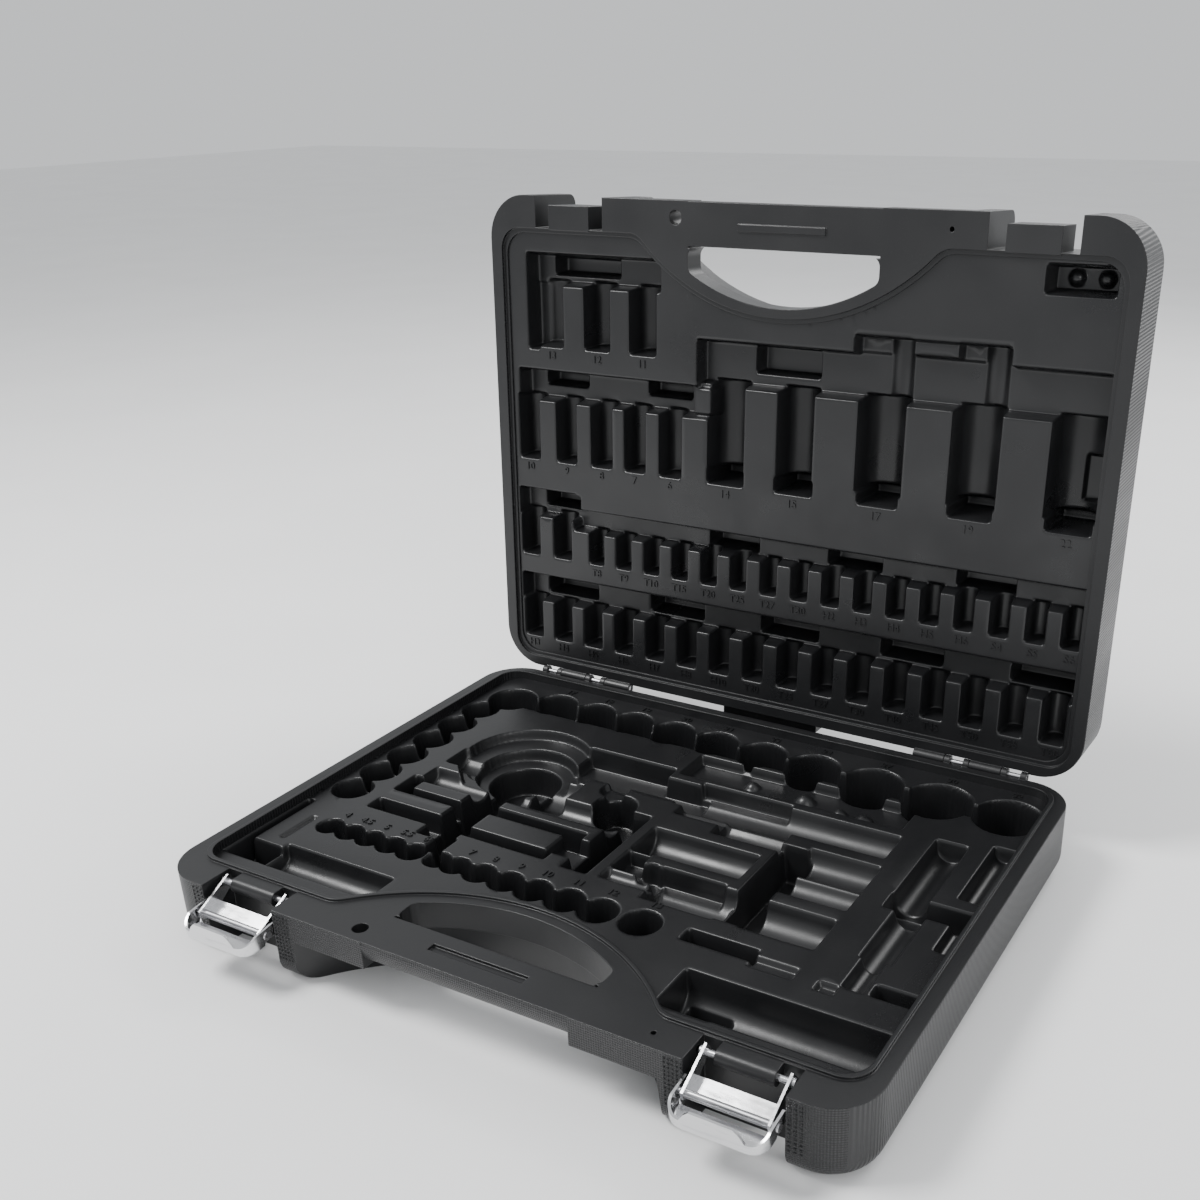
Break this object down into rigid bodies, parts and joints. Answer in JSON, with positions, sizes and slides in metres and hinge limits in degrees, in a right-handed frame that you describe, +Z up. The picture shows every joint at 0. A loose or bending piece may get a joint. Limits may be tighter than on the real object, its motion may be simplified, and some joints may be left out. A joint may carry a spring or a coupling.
{
  "type": "socket wrench set case",
  "caption": "Open carrying case for a socket set: two hinged moulded halves with tool pockets, a carrying grip and two over-centre steel latches.",
  "frame": {"origin": "centre of the base half's underside", "axes": "+X along the hinge, +Y from the handle towards the hinge, +Z up"},
  "size_m": [0.39, 0.3769, 0.3369],
  "materials": {
    "case_plastic": "fine satin grain",
    "latch_steel": "bright zinc plate",
    "pin_steel": "drawn wire",
    "label_print": "printed film",
    "white_print": "printed line"
  },
  "bodies": {
    "base": {"base_shell": "case_plastic", "base_tray": "case_plastic", "hinge_pin_left": "pin_steel", "hinge_pin_right": "pin_steel", "latch_pin_left": "pin_steel", "latch_pin_right": "pin_steel"},
    "lid": {"lid_shell": "case_plastic", "lid_tray": "case_plastic", "label_film": "label_print", "badge_line": "white_print"},
    "link_left": {"latch_link_left": "latch_steel", "latch_rivet_left": "pin_steel"},
    "lever_left": {"latch_lever_left": "latch_steel"},
    "link_right": {"latch_link_right": "latch_steel", "latch_rivet_right": "pin_steel"},
    "lever_right": {"latch_lever_right": "latch_steel"}
  },
  "joints": [
    {"name": "lid_hinge", "type": "hinge", "parent": "base", "child": "lid", "pos_m": [0, 0.15, 0.04], "axis": [1, 0, 0], "range_deg": [0, 93.6]},
    {"name": "link_left_hinge", "type": "hinge", "parent": "base", "child": "link_left", "pos_m": [-0.1385, -0.1345, 0.036], "axis": [1, 0, 0], "range_deg": [-76, 0]},
    {"name": "lever_left_hinge", "type": "hinge", "parent": "link_left", "child": "lever_left", "pos_m": [-0.1385, -0.15143, 0.02737], "axis": [1, 0, 0], "range_deg": [-19, 40]},
    {"name": "link_right_hinge", "type": "hinge", "parent": "base", "child": "link_right", "pos_m": [0.1385, -0.1345, 0.036], "axis": [1, 0, 0], "range_deg": [-76, 0]},
    {"name": "lever_right_hinge", "type": "hinge", "parent": "link_right", "child": "lever_right", "pos_m": [0.1385, -0.15143, 0.02737], "axis": [1, 0, 0], "range_deg": [-19, 40]}
  ]
}
